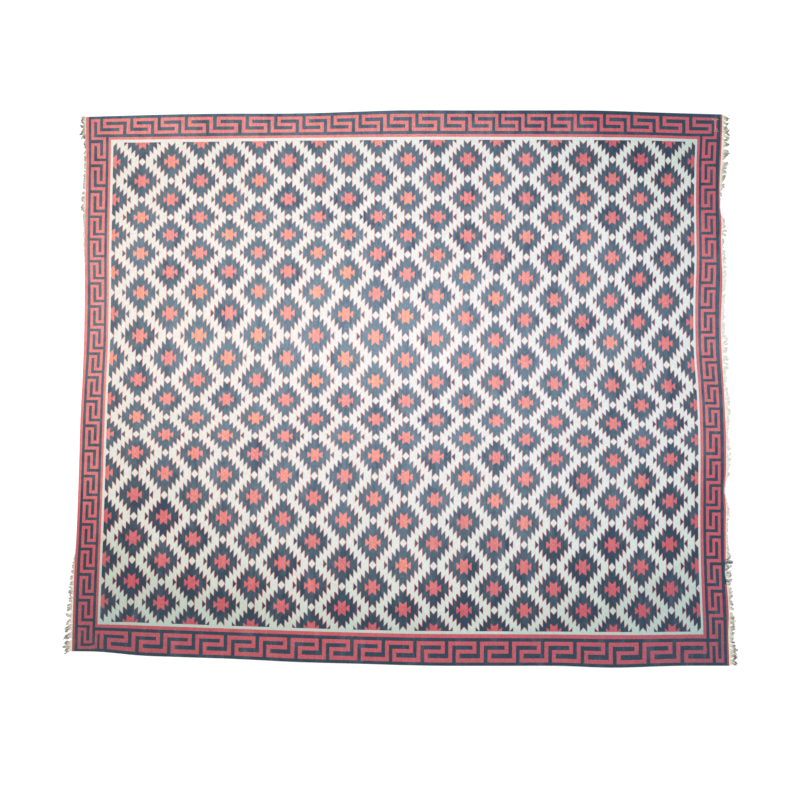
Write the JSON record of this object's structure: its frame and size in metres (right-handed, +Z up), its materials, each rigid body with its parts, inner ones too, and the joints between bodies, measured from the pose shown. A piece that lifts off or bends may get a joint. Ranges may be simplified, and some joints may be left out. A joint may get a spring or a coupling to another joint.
{
  "type": "dhurrie rug",
  "caption": "Flat-woven cotton rug with a field of stepped star diamonds, a key border and a short, patchy warp fringe on its ends, laid flat on a floor.",
  "frame": {"origin": "middle of the cloth, on its underside, where it rests on the floor", "axes": "+X to the right along the warps, from fringed end to fringed end; +Y to the far selvedge; +Z up out of the face"},
  "size_m": [3.7627, 3.1432, 0.004],
  "materials": {
    "woven_cotton": "matte weft-faced flat weave in slate blue, coral and cream",
    "warp_cotton": "matte undyed cotton yarn"
  },
  "bodies": {
    "root": {"rug": "woven_cotton", "fringe_left_far": "warp_cotton", "fringe_left_near": "warp_cotton", "fringe_right": "warp_cotton"}
  },
  "joints": []
}
